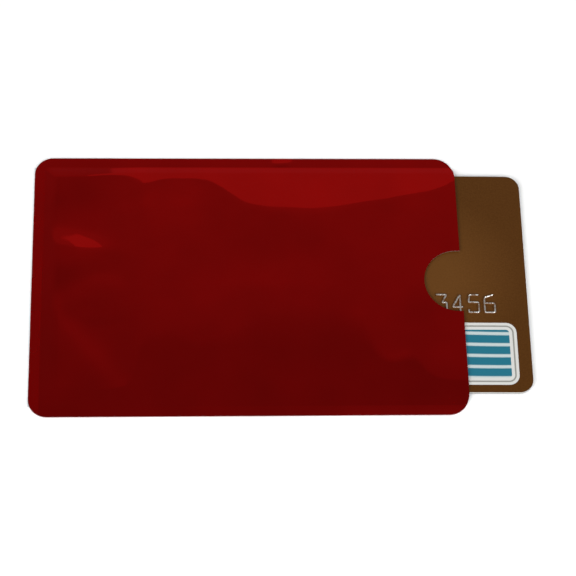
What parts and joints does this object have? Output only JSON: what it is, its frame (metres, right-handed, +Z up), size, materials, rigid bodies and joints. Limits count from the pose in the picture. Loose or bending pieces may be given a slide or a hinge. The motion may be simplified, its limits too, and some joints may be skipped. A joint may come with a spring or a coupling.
{
  "type": "rfid card sleeve",
  "caption": "Flat glossy red foil-laminate sleeve, welded on three sides and open at one end with a thumb notch, holding a payment card that slides out.",
  "frame": {"origin": "centre of the sleeve's flat underside, between the closed end and the mouth", "axes": "+X out of the mouth, the way the card is pulled; +Y towards the upper side weld; +Z up, away from the surface it lies on"},
  "size_m": [0.112, 0.064, 0.0017],
  "materials": {
    "printed_film": "gloss",
    "foil": "bright rolled",
    "liner": "satin",
    "weld": "satin",
    "card_overlay": "gloss over print",
    "card_print": "printed",
    "card_core": "satin",
    "magnetic_tape": "satin",
    "signature_paper": "matt",
    "copper": "etched",
    "gold_contacts": "plated",
    "carrier_tape": "glass-epoxy",
    "silicon": "polished",
    "epoxy": "moulded"
  },
  "bodies": {
    "sleeve": {"rear_film": "printed_film", "rear_foil": "foil", "rear_liner": "liner", "front_liner": "liner", "front_foil": "foil", "front_film": "printed_film", "upper_side_weld": "weld", "lower_side_weld": "weld", "end_weld": "weld"},
    "card": {"rear_overlay": "card_overlay", "magnetic_stripe": "magnetic_tape", "signature_panel": "signature_paper", "rear_print_sheet": "card_print", "inlay_sheet": "card_core", "antenna_coil": "copper", "antenna_bridge": "copper", "front_print_sheet": "card_print", "front_overlay": "card_overlay", "contact_plate": "gold_contacts", "module_carrier": "carrier_tape", "chip": "silicon", "chip_encapsulation": "epoxy"}
  },
  "joints": [
    {"name": "card_slide", "type": "slide", "parent": "sleeve", "child": "card", "axis": [1, 0, 0], "range_m": [-0.0213, 0.078]}
  ]
}
